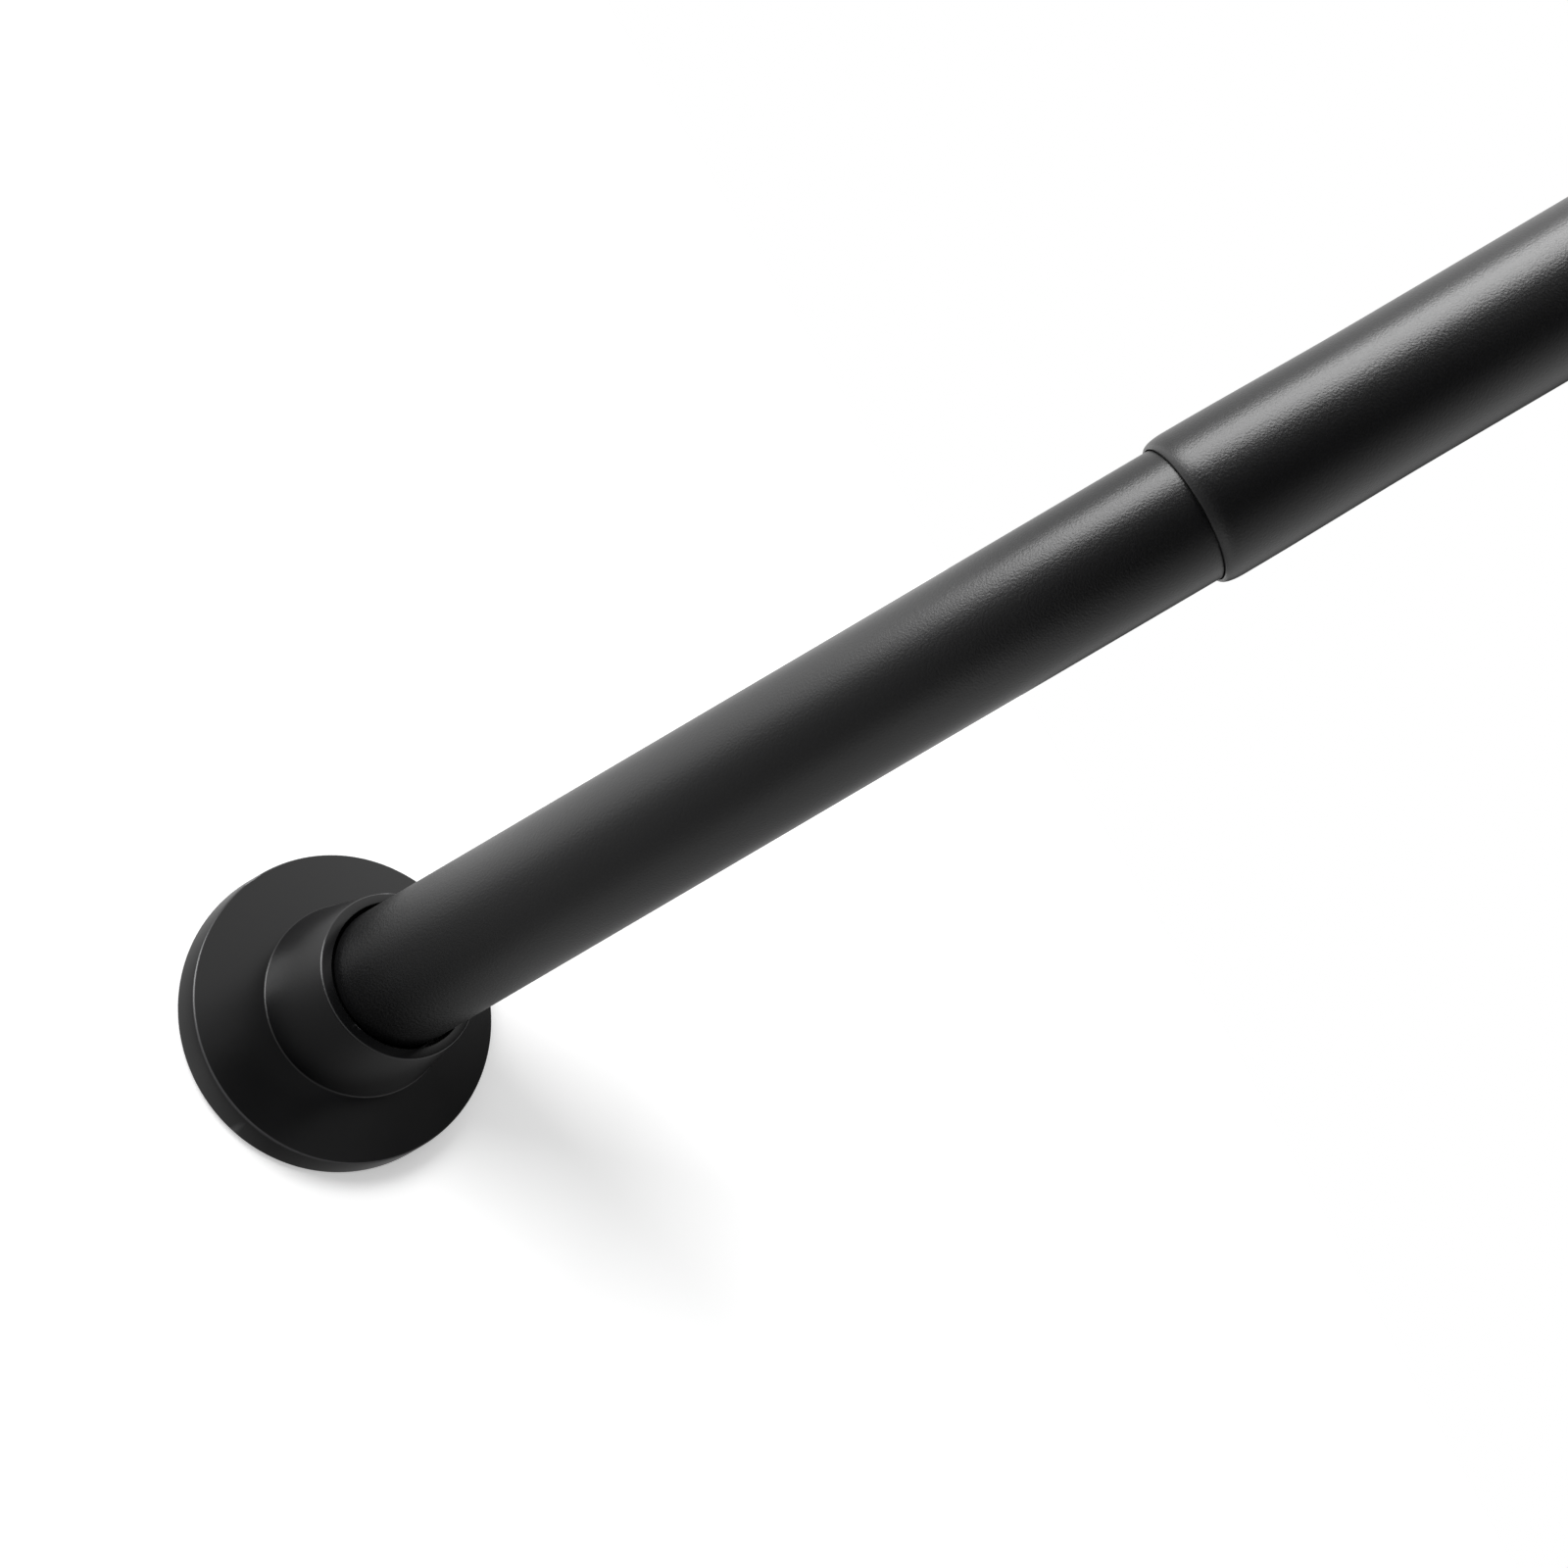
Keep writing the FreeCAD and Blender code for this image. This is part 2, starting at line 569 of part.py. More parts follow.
def main():
    os.makedirs("parts", exist_ok=True)

    save("left_wall_pad", wall_pad())
    save("left_flange", flange(INNER_TUBE_RADIUS))
    save("left_pivot_screw", pivot_screw())
    save("left_pivot_washer", pivot_washer())
    save("left_end_plug", end_plug(INNER_TUBE_RADIUS, INNER_BORE_RADIUS))
    save("inner_tube", inner_tube())

    save("guide_bush", guide_bush())
    save("travel_stop_nut", nut(STOP_NUT_SEAT, -1))
    save("travel_stop_washer", spindle_washer(STOP_NUT_SEAT, THREAD_DIAMETER, STOP_WASHER_DIAMETER))
    save("spindle", spindle())
    hex_corners = HEX_ACROSS_FLATS * 2 / math.sqrt(3)
    save("bush_spring_washer", spindle_washer(BUSH_FACE, hex_corners, SPRING_WASHER_DIAMETER))
    save("coil_spring", coil_spring())
    save("collar_spring_washer", spindle_washer(SPRING_END, hex_corners, SPRING_WASHER_DIAMETER))
    save("thrust_washer", spindle_washer(COLLAR_END, STEM_DIAMETER, SPINDLE_COLLAR_DIAMETER))
    save("expander_sleeve", expander_sleeve())
    save("sleeve_clip", sleeve_clip())
    save("cone_nut", cone_nut())
    save("cone_stop_nut", nut(CONE_STOP, 1))

    save("outer_tube", outer_tube())
    save("right_end_plug", place_right(end_plug(OUTER_TUBE_RADIUS, OUTER_BORE_RADIUS)))
    save("right_pivot_washer", place_right(pivot_washer()))
    save("right_pivot_screw", place_right(pivot_screw()))
    save("right_flange", place_right(flange(OUTER_TUBE_RADIUS)))
    save("right_wall_pad", place_right(wall_pad()))


main()
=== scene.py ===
import bmesh
import bpy
import math
from mathutils import Matrix, Vector


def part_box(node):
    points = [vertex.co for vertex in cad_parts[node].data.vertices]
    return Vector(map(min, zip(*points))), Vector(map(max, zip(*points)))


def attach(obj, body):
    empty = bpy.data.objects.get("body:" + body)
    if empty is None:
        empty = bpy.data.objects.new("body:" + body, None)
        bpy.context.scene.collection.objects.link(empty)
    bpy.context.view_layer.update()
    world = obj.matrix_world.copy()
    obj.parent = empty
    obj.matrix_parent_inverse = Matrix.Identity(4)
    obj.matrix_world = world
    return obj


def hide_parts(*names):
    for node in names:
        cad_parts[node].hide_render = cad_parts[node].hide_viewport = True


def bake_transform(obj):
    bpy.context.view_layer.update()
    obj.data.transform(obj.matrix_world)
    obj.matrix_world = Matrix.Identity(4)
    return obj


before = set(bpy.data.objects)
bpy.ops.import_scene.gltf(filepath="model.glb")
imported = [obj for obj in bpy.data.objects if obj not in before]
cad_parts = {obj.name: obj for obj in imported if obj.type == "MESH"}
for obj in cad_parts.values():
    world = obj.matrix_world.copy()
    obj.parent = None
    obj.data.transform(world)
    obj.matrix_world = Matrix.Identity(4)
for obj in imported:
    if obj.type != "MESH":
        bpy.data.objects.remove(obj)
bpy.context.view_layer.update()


# Camera. It stands close beside the rod's left end, looks square at it from a little above, and is rolled so
# that the rod runs up to the right. The short lens makes the near stretch of tube thick and the far one thin.
MM = 0.001
LENS = 19.0
SENSOR = 36.0
EYE_ALONG_ROD = 117.0 * MM
EYE_FROM_ROD = 124.7 * MM
EYE_HEIGHT = math.radians(15)
TURNED_LEFT = 0.0135
TURNED_DOWN = 0.0058
ROLL = math.radians(30.45)
SHIFT_RIGHT = -0.14
SHIFT_UP = -0.1005
NEAREST_SEEN = 5 * MM
FURTHEST_SEEN = 100


def put_in_scene(name, data):
    """A new object of the given name and data, linked into the scene."""
    thing = bpy.data.objects.new(name, data)
    bpy.context.scene.collection.objects.link(thing)
    return thing


def standing(place, x_axis, y_axis, z_axis):
    """Matrix of a thing at the given place whose own axes point along the three given ones."""
    return Matrix.Translation(place) @ Matrix((x_axis, y_axis, z_axis)).transposed().to_4x4()


along_rod = Vector((1, 0, 0))
away = Vector((0, math.cos(EYE_HEIGHT), -math.sin(EYE_HEIGHT)))
upright = Vector((0, math.sin(EYE_HEIGHT), math.cos(EYE_HEIGHT)))
look = (away - along_rod * TURNED_LEFT - upright * TURNED_DOWN).normalized()
side = (along_rod - look * along_rod.dot(look)).normalized()
top = side.cross(look)
picture_right = side * math.cos(ROLL) - top * math.sin(ROLL)
picture_up = side * math.sin(ROLL) + top * math.cos(ROLL)

camera_data = bpy.data.cameras.new("wall_view")
camera_data.lens = LENS
camera_data.sensor_width = SENSOR
camera_data.shift_x = SHIFT_RIGHT
camera_data.shift_y = SHIFT_UP
camera_data.clip_start = NEAREST_SEEN
camera_data.clip_end = FURTHEST_SEEN
camera = put_in_scene("wall_view", camera_data)
eye = along_rod * EYE_ALONG_ROD - away * EYE_FROM_ROD
camera.matrix_world = standing(eye, picture_right, picture_up, -look)
bpy.context.scene.camera = camera
bpy.context.scene.view_settings.view_transform = "Standard"


# Wall that the left flange is pressed against: matt white paint, which keeps the rod's shadow and burns out
# to white further off. Gloss sees it with a level of its own: darker on the camera's side, below and close
# round the disc, brighter above, far off and at the disc's rim. From behind it's clear, so the pad shows.
WALL_SIZE = 6000 * MM
WALL_BEHIND_PAD = 0.03 * MM
WALL_PAINT = "#f4f4f4"
GLOW_LEVEL_NEAR = 0.45
GLOW_LEVEL_FAR = 1.0
GLOW_NEAR = 60 * MM
GLOW_FAR = 300 * MM
GLOSS_IN_FRONT_NEAR = 0.42
GLOSS_IN_FRONT_FAR = 0.2
FRONT_NEAR = 60 * MM
FRONT_FAR = 300 * MM
FRONT_STARTS = -1.0
FRONT_ENDS = -0.35
GLOSS_BEHIND = 0.7
BEHIND_STARTS = 0.0
BEHIND_ENDS = 0.6
GLOSS_BELOW = 0.6
GLOSS_ABOVE = 1.5
GLOSS_FAR = 1.6
GLOSS_REACH = 600 * MM
GLOSS_IN_SHADE = 0.55
SHADE_START = 30 * MM
SHADE_END = 50 * MM
GLOSS_AT_RIM = 0.8
RIM_LIGHT_START = 26 * MM
RIM_LIGHT_END = 29 * MM
RIM_LIGHT_BELOW = 0.1
RIM_LIGHT_LOWEST = -0.6
RIM_LIGHT_FULL = 0.1


def hex_colour(code):
    """Linear colour of an sRGB hex value."""
    shades = [int(code[start:start + 2], 16) / 255 for start in (1, 3, 5)]
    return [s / 12.92 if s <= 0.04045 else ((s + 0.055) / 1.055) ** 2.4 for s in shades] + [1.0]


def add_node(tree, kind, values=None, links=None, **settings):
    """Adds a shader node with its input values, the sockets linked to its inputs, and its own settings."""
    node = tree.nodes.new("ShaderNode" + kind)
    for name, setting in settings.items():
        setattr(node, name, setting)
    for name, value in (values or {}).items():
        node.inputs[name].default_value = value
    for name, socket in (links or {}).items():
        tree.links.new(socket, node.inputs[name])
    return node


wall_paint = bpy.data.materials.new("matt_white_wall_paint")
wall_paint.use_nodes = True
tree = wall_paint.node_tree
tree.nodes.clear()
place = add_node(tree, "TexCoord").outputs["Object"]
from_rod = add_node(tree, "VectorMath", links={0: place}, operation="LENGTH").outputs["Value"]
outwards = add_node(tree, "VectorMath", links={0: place}, operation="NORMALIZE").outputs[0]
behind = add_node(tree, "VectorMath", {1: away}, {0: outwards}, operation="DOT_PRODUCT").outputs["Value"]
above = add_node(tree, "VectorMath", {1: upright}, {0: outwards}, operation="DOT_PRODUCT").outputs["Value"]
rays = add_node(tree, "LightPath").outputs

# What the camera sees: the lit paint, and a glow that grows with the distance from the rod.
paint = add_node(tree, "BsdfDiffuse", {"Color": hex_colour(WALL_PAINT)})
glow_here = add_node(tree, "MapRange", {"From Min": GLOW_NEAR, "From Max": GLOW_FAR,
                                        "To Min": GLOW_LEVEL_NEAR, "To Max": GLOW_LEVEL_FAR},
                     {"Value": from_rod})
direct = add_node(tree, "Math", links={0: rays["Is Camera Ray"], 1: rays["Is Transmission Ray"]},
                  operation="MAXIMUM")
glow_level = add_node(tree, "Math", links={0: direct.outputs[0], 1: glow_here.outputs[0]},
                      operation="MULTIPLY")
glow = add_node(tree, "Emission", {"Color": (1, 1, 1, 1)}, {"Strength": glow_level.outputs[0]})
lit_wall = add_node(tree, "AddShader", links={0: paint.outputs[0], 1: glow.outputs[0]})

# What gloss sees: the product of a share for each measure of the place, or the rim's light where it is more.
in_front = add_node(tree, "MapRange", {"From Min": FRONT_NEAR, "From Max": FRONT_FAR,
                                       "To Min": GLOSS_IN_FRONT_NEAR, "To Max": GLOSS_IN_FRONT_FAR},
                    {"Value": from_rod})
front_share = add_node(tree, "MapRange", {"From Min": FRONT_STARTS, "From Max": FRONT_ENDS},
                       {"Value": behind, "To Min": in_front.outputs[0]}, interpolation_type="SMOOTHSTEP")
behind_share = add_node(tree, "MapRange", {"From Min": BEHIND_STARTS, "From Max": BEHIND_ENDS,
                                           "To Min": 1.0, "To Max": GLOSS_BEHIND},
                        {"Value": behind}, interpolation_type="SMOOTHSTEP")
height_share = add_node(tree, "MapRange", {"From Min": -1.0, "To Min": GLOSS_BELOW, "To Max": GLOSS_ABOVE},
                        {"Value": above})
far_share = add_node(tree, "MapRange", {"From Max": GLOSS_REACH, "To Min": 1.0, "To Max": GLOSS_FAR},
                     {"Value": from_rod})
shade_share = add_node(tree, "MapRange", {"From Min": SHADE_START, "From Max": SHADE_END,
                                          "To Min": GLOSS_IN_SHADE},
                       {"Value": from_rod}, interpolation_type="SMOOTHSTEP")
gloss_level = front_share.outputs[0]
for share in (behind_share, height_share, far_share, shade_share):
    gloss_level = add_node(tree, "Math", links={0: gloss_level, 1: share.outputs[0]},
                           operation="MULTIPLY").outputs[0]
rim_light = add_node(tree, "MapRange", {"From Min": RIM_LIGHT_START, "From Max": RIM_LIGHT_END,
                                        "To Min": GLOSS_AT_RIM, "To Max": 0.0}, {"Value": from_rod})
rim_height = add_node(tree, "MapRange", {"From Min": RIM_LIGHT_LOWEST, "From Max": RIM_LIGHT_FULL,
                                         "To Min": RIM_LIGHT_BELOW}, {"Value": above})
rim_glow = add_node(tree, "Math", links={0: rim_light.outputs[0], 1: rim_height.outputs[0]},
                    operation="MULTIPLY")
gloss_or_rim = add_node(tree, "Math", links={0: gloss_level, 1: rim_glow.outputs[0]}, operation="MAXIMUM")
in_gloss = add_node(tree, "Emission", {"Color": (1, 1, 1, 1)}, {"Strength": gloss_or_rim.outputs[0]})

front = add_node(tree, "MixShader", links={0: rays["Is Glossy Ray"], 1: lit_wall.outputs[0],
                                           2: in_gloss.outputs[0]})
clear = add_node(tree, "BsdfTransparent")
from_behind = add_node(tree, "NewGeometry").outputs["Backfacing"]
wall_shader = add_node(tree, "MixShader", links={0: from_behind, 1: front.outputs[0], 2: clear.outputs[0]})
add_node(tree, "OutputMaterial", links={"Surface": wall_shader.outputs[0]})

wall_mesh = bpy.data.meshes.new("wall")
half = WALL_SIZE / 2
corners = [(-WALL_BEHIND_PAD, y, z) for y, z in ((-half, -half), (half, -half), (half, half), (-half, half))]
wall_mesh.from_pydata(corners, [], [(0, 1, 2, 3)])
wall_mesh.materials.append(wall_paint)
wall = put_in_scene("wall", wall_mesh)


# Studio light: a wide soft lamp above, seen only in gloss, draws the highlight along the tubes. A smaller one
# beside it lights surfaces and throws the rod's shadow. Gloss sees a room that is white behind, below and
# past the rod's far end, and dark round the camera and under the horizon, which draws the tubes' dark band.
KEY_DIRECTION = along_rod * 0.40 + upright * 0.80 - away * 0.35
KEY_LENGTH = 1100 * MM
KEY_WIDTH = 700 * MM
KEY_POWER = 20.5
SHADOW_DIRECTION = along_rod * 0.45 + upright * 0.80 - away * 0.43
SHADOW_LAMP_SIZE = 500 * MM
SHADOW_POWER = 11.5
LAMP_AIM_ALONG = 150 * MM
LAMP_DISTANCE = 1100 * MM
ROOM_BEHIND = 1.0
ROOM_IN_FRONT = 0.0
FRONT_OF_ROOM = -1.0
BACK_OF_ROOM = 0.3
ROOM_BELOW = 0.9
FLOOR_FULL = -0.8
FLOOR_ENDS = -0.35
ROOM_SKIRTING = 0.03
SKIRTING_LOW = -0.10
SKIRTING_HIGH = 0.02
ROOM_END = 0.9
END_STARTS = 0.82
END_FULL = 0.96
FILL_FROM_ABOVE = 1.2
FILL_FROM_BELOW = 0.0
FILL_STARTS = -0.3


def soft_lamp(name, direction, length, width, power):
    """Flat lamp that looks at the rod from the given direction, with its long side along the rod."""
    light = bpy.data.lights.new(name, "AREA")
    light.shape = "RECTANGLE"
    light.size = length
    light.size_y = width
    light.energy = power
    lamp = put_in_scene(name, light)
    facing = direction.normalized()
    long_side = (along_rod - facing * along_rod.dot(facing)).normalized()
    lamp_place = along_rod * LAMP_AIM_ALONG + facing * LAMP_DISTANCE
    lamp.matrix_world = standing(lamp_place, long_side, facing.cross(long_side), facing)
    return lamp


key_lamp = soft_lamp("gloss_key", KEY_DIRECTION, KEY_LENGTH, KEY_WIDTH, KEY_POWER)
key_lamp.visible_diffuse = False
shadow_lamp = soft_lamp("shadow_side", SHADOW_DIRECTION, SHADOW_LAMP_SIZE, SHADOW_LAMP_SIZE, SHADOW_POWER)
shadow_lamp.visible_glossy = False

room = bpy.data.worlds.new("white_room")
bpy.context.scene.world = room
room.use_nodes = True
tree = room.node_tree
tree.nodes.clear()
outwards = add_node(tree, "TexCoord").outputs["Generated"]
behind = add_node(tree, "VectorMath", {1: away}, {0: outwards}, operation="DOT_PRODUCT").outputs["Value"]
above = add_node(tree, "VectorMath", {1: upright}, {0: outwards}, operation="DOT_PRODUCT").outputs["Value"]
to_end = add_node(tree, "VectorMath", {1: along_rod}, {0: outwards}, operation="DOT_PRODUCT").outputs["Value"]
rays = add_node(tree, "LightPath").outputs

# What gloss sees of the room.
walls = add_node(tree, "MapRange", {"From Min": FRONT_OF_ROOM, "From Max": BACK_OF_ROOM,
                                    "To Min": ROOM_IN_FRONT, "To Max": ROOM_BEHIND},
                 {"Value": behind}, interpolation_type="SMOOTHSTEP")
horizon = add_node(tree, "MapRange", {"From Min": SKIRTING_LOW, "From Max": SKIRTING_HIGH,
                                      "To Min": ROOM_SKIRTING},
                   {"Value": above}, interpolation_type="SMOOTHSTEP")
floor = add_node(tree, "MapRange", {"From Min": FLOOR_FULL, "From Max": FLOOR_ENDS,
                                    "To Min": ROOM_BELOW, "To Max": 0.0},
                 {"Value": above}, interpolation_type="SMOOTHSTEP")
height = add_node(tree, "Math", links={0: horizon.outputs[0], 1: floor.outputs[0]}, operation="MAXIMUM")
sides = add_node(tree, "Math", links={0: walls.outputs[0], 1: height.outputs[0]}, operation="MULTIPLY")
far_end = add_node(tree, "MapRange", {"From Min": END_STARTS, "From Max": END_FULL, "To Max": ROOM_END},
                   {"Value": to_end}, interpolation_type="SMOOTHSTEP")
room_seen = add_node(tree, "Math", links={0: sides.outputs[0], 1: far_end.outputs[0]}, operation="MAXIMUM")

# The fill that lights surfaces, and plain white for the camera.
fill = add_node(tree, "MapRange", {"From Min": FILL_STARTS, "To Min": FILL_FROM_BELOW,
                                   "To Max": FILL_FROM_ABOVE}, {"Value": above})
for_light = add_node(tree, "Mix", links={0: rays["Is Glossy Ray"], 2: fill.outputs[0],
                                         3: room_seen.outputs[0]})
direct = add_node(tree, "Math", links={0: rays["Is Camera Ray"], 1: rays["Is Transmission Ray"]},
                  operation="MAXIMUM")
level = add_node(tree, "Mix", {3: 1.0}, {0: direct.outputs[0], 2: for_light.outputs[0]})
background = add_node(tree, "Background", {"Color": (1, 1, 1, 1)}, {"Strength": level.outputs[0]})
add_node(tree, "OutputWorld", links={"Surface": background.outputs[0]})


# Left flange: a flat disc with a short tapered collar, moulded in black ABS in one piece. Its edges are
# painted lighter, a painted highlight and rubbing wear. It turns on the pivot screw and hides the tube's end.
FLANGE_RIM = 2.5
FLANGE_EDGE = 0.22
COLLAR_LIP = 1.5
COLLAR_GAP = 0.6
COLLAR_TAPER = math.radians(15)
COLLAR_FOOT = 0.2
COLLAR_EDGE = 0.25
WEB_FROM_BACK = 3.3
WEB_THICKNESS = 1.5
PAD_SEAT_FROM_BACK = 0.9
PAD_HOLE_RADIUS = 20.1
HEAD_HOLE_RADIUS = 4.5
SCREW_HOLE_RADIUS = 2.08
TURN_STEPS = 192
TURNED_SHARP = math.radians(30)
ROUND_STEPS = 5
WELD = 1e-8
ABS_BLACK = "#060607"
ABS_WORN = "#0a0a0b"
ABS_EDGE_HIGHLIGHT = "#6e6e70"
ABS_PATCH = 9.0
ABS_GRAIN = 0.22
ABS_RELIEF = (0.25, 0.02)
ABS_ROUGHNESS = (0.28, 0.34)
EDGE_BEND = 0.52
EDGE_BEND_FULL = 0.56


def radius_of(node):
    """Radius in millimetres of a CAD node that is round about the rod's axis."""
    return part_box(node)[1].z / MM


def span_of(node):
    """Where a CAD node starts and ends along the rod, in millimetres."""
    low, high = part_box(node)
    return low.x / MM, high.x / MM


def rounded_outline(corners):
    """Points of a closed outline of (along, radius, round) corners, with an arc at each rounded corner."""
    points = []
    for number, (along, radius, round_by) in enumerate(corners):
        corner = Vector((along, radius))
        if round_by == 0:
            points.append(corner)
            continue
        back = (Vector(corners[number - 1][:2]) - corner).normalized()
        ahead = (Vector(corners[(number + 1) % len(corners)][:2]) - corner).normalized()
        half_angle = back.angle(ahead) / 2
        centre = corner + (back + ahead).normalized() * (round_by / math.sin(half_angle))
        start = corner + back * (round_by / math.tan(half_angle)) - centre
        end = corner + ahead * (round_by / math.tan(half_angle)) - centre
        for step in range(ROUND_STEPS + 1):
            share = step / ROUND_STEPS
            points.append(centre + (start * (1 - share) + end * share).normalized() * round_by)
    return points


def skin_rings(name, rings, material, sharp_angle, closed):
    """Piece skinned over rings of points in metres, smooth up to the sharp angle.

    A closed row of rings meets itself, with its points on the axis welded. Another row gets two end faces.
    """
    shape = bmesh.new()
    loops = [[shape.verts.new(point) for point in ring] for ring in rings]
    following = loops[1:] + loops[:1] if closed else loops[1:]
    for this_loop, next_loop in zip(loops, following):
        for number in range(len(this_loop)):
            after = (number + 1) % len(this_loop)
            shape.faces.new((this_loop[number], this_loop[after], next_loop[after], next_loop[number]))
    if closed:
        bmesh.ops.remove_doubles(shape, verts=shape.verts, dist=WELD)
        bmesh.ops.dissolve_degenerate(shape, edges=shape.edges, dist=WELD)
    else:
        shape.faces.new(loops[0])
        shape.faces.new(loops[-1])
    bmesh.ops.recalc_face_normals(shape, faces=shape.faces)
    mesh = bpy.data.meshes.new(name)
    shape.to_mesh(mesh)
    shape.free()
    mesh.shade_smooth()
    mesh.set_sharp_from_angle(angle=sharp_angle)
    mesh.materials.append(material)
    return put_in_scene(name, mesh)


def turned_piece(name, corners, material, steps=TURN_STEPS):
    """Piece turned about the rod's axis from a closed outline in millimetres."""
    outline = rounded_outline(corners)
    rings = []
    for step in range(steps):
        angle = 2 * math.pi * step / steps
        rings.append([(p.x * MM, p.y * MM * math.sin(angle), p.y * MM * math.cos(angle)) for p in outline])
    return skin_rings(name, rings, material, TURNED_SHARP, closed=True)


def new_finish(name, sockets, shades, patches):
    """A material that drifts between two hex shades in patches of noise, with the plain sockets set.

    Gives back the material, its tree and shader, and two sockets for the rest of the finish: the piece's own
    coordinates and the patches.
    """
    material = bpy.data.materials.new(name)
    material.use_nodes = True
    tree = material.node_tree
    shader = tree.nodes["Principled BSDF"]
    for socket, value in sockets.items():
        shader.inputs[socket].default_value = value
    place = add_node(tree, "TexCoord").outputs["Object"]
    patch = add_node(tree, "TexNoise", patches, {"Vector": place}).outputs["Fac"]
    first, second = shades
    shade = add_node(tree, "Mix", {6: hex_colour(first), 7: hex_colour(second)}, {0: patch}, data_type="RGBA")
    tree.links.new(shade.outputs[2], shader.inputs["Base Color"])
    return material, tree, shader, place, patch


def set_surface(tree, shader, grain, relief, dulling, roughness):
    """Raises a grain from the surface, and lets the roughness follow the dulling. Gives back the relief.

    `relief` is the grain's strength and its depth in millimetres, `roughness` the least and the most of it.
    """
    strength, depth = relief
    raised = add_node(tree, "Bump", {"Strength": strength, "Distance": depth * MM}, {"Height": grain})
    tree.links.new(raised.outputs[0], shader.inputs["Normal"])
    least, most = roughness
    gloss = add_node(tree, "MapRange", {"To Min": least, "To Max": most}, {"Value": dulling})
    tree.links.new(gloss.outputs[0], shader.inputs["Roughness"])
    return raised


def flange_outline(base, direction, tube_radius):
    """Outline of a flange whose back lies at `base` and whose collar points in the given direction."""
    start, end = span_of("left_flange")
    reach = end - start
    disc = radius_of("left_flange")
    bore = tube_radius + COLLAR_GAP
    mouth = bore + COLLAR_LIP
    foot = mouth + (reach - FLANGE_RIM) * math.tan(COLLAR_TAPER)
    web_front = WEB_FROM_BACK + WEB_THICKNESS
    corners = [
        (0, PAD_HOLE_RADIUS, 0), (0, disc, FLANGE_EDGE),
        (FLANGE_RIM, disc, FLANGE_EDGE), (FLANGE_RIM, foot, COLLAR_FOOT),
        (reach, mouth, COLLAR_EDGE), (reach, bore, COLLAR_EDGE / 2),
        (web_front, bore, 0), (web_front, SCREW_HOLE_RADIUS, 0),
        (WEB_FROM_BACK, SCREW_HOLE_RADIUS, 0), (WEB_FROM_BACK, HEAD_HOLE_RADIUS, 0),
        (PAD_SEAT_FROM_BACK, HEAD_HOLE_RADIUS, 0), (PAD_SEAT_FROM_BACK, PAD_HOLE_RADIUS, 0),
    ]
    return [(base + direction * along, radius, round_by) for along, radius, round_by in corners]


# The mould was spark eroded, which leaves a fine even grain in the nearly black ABS and breaks up its soft
# reflections.
moulded_abs, tree, shader, place, patches = new_finish(
    "moulded_abs", {"IOR": 1.5, "Specular IOR Level": 0.42}, (ABS_BLACK, ABS_WORN),
    {"Scale": 1 / (ABS_PATCH * MM), "Detail": 3.0})
# Sharp bends are painted lighter grey: a painted highlight standing in for the edges' glint, and rubbing wear.
mottled = shader.inputs["Base Color"].links[0].from_socket
bend = add_node(tree, "NewGeometry").outputs["Pointiness"]
edge_highlight_mask = add_node(tree, "MapRange", {"From Min": EDGE_BEND, "From Max": EDGE_BEND_FULL}, {"Value": bend})
highlighted_edge_colour = add_node(tree, "Mix", {7: hex_colour(ABS_EDGE_HIGHLIGHT)}, {0: edge_highlight_mask.outputs[0], 6: mottled},
                      data_type="RGBA")
tree.links.new(highlighted_edge_colour.outputs[2], shader.inputs["Base Color"])
grain = add_node(tree, "TexNoise", {"Scale": 1 / (ABS_GRAIN * MM), "Detail": 2.0, "Roughness": 0.6},
                 {"Vector": place})
set_surface(tree, shader, grain.outputs["Fac"], ABS_RELIEF, patches, ABS_ROUGHNESS)

inner_radius = radius_of("inner_tube")
left_back = span_of("left_flange")[0]
left_flange = turned_piece("left_flange_moulding", flange_outline(left_back, 1, inner_radius), moulded_abs)
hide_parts("left_flange")
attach(left_flange, "left_wall_end")


# Wall pads: discs of black EPDM rubber let into the flanges' backs, with grip rings towards the wall. Moulded
# rubber is dead matt, with a grey bloom and a fine powdery grain.
RUBBER_BLACK = "#161616"
RUBBER_BLOOM = "#242424"
RUBBER_PATCH = 6.0
RUBBER_GRAIN = 0.35
RUBBER_RELIEF = (0.4, 0.04)
RUBBER_ROUGHNESS = (0.7, 0.85)


def dress(node, material):
    """Gives a CAD piece, whose shape is right as it is, its finish."""
    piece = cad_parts[node]
    piece.data.materials.clear()
    piece.data.materials.append(material)


epdm_rubber, tree, shader, place, bloom = new_finish(
    "moulded_epdm_rubber", {"IOR": 1.52, "Specular IOR Level": 0.35}, (RUBBER_BLACK, RUBBER_BLOOM),
    {"Scale": 1 / (RUBBER_PATCH * MM), "Detail": 4.0})
powder = add_node(tree, "TexNoise", {"Scale": 1 / (RUBBER_GRAIN * MM), "Detail": 2.0}, {"Vector": place})
set_surface(tree, shader, powder.outputs["Fac"], RUBBER_RELIEF, bloom, RUBBER_ROUGHNESS)

dress("left_wall_pad", epdm_rubber)
dress("right_wall_pad", epdm_rubber)


# Inner tube: thin steel tube in black powder coat. The powder melts and sets as a satin skin with a fine
# orange peel and a slight sparkle, whose grain is drawn as coarse as it needs to show. The tube is crimped
# over the plug at its outer end and over the bush at its inner end.
POWDER_BLACK = "#0c0c0d"
POWDER_GREY = "#111112"
POWDER_PATCH = 14.0
POWDER_GRAIN = 0.33
POWDER_RELIEF = (1.0, 0.035)
POWDER_PEEL = 1.4
PEEL_STRENGTH = 0.2
PEEL_DEPTH = 0.03
POWDER_ROUGHNESS = (0.29, 0.37)
INNER_WALL = 0.8
CRIMP_DEPTH = 0.5
CRIMP_WIDTH = 2.4
CRIMP_ROUND = 0.4
CRIMP_FROM_OUTER_END = 1.9
CRIMP_FROM_INNER_END = 8.0
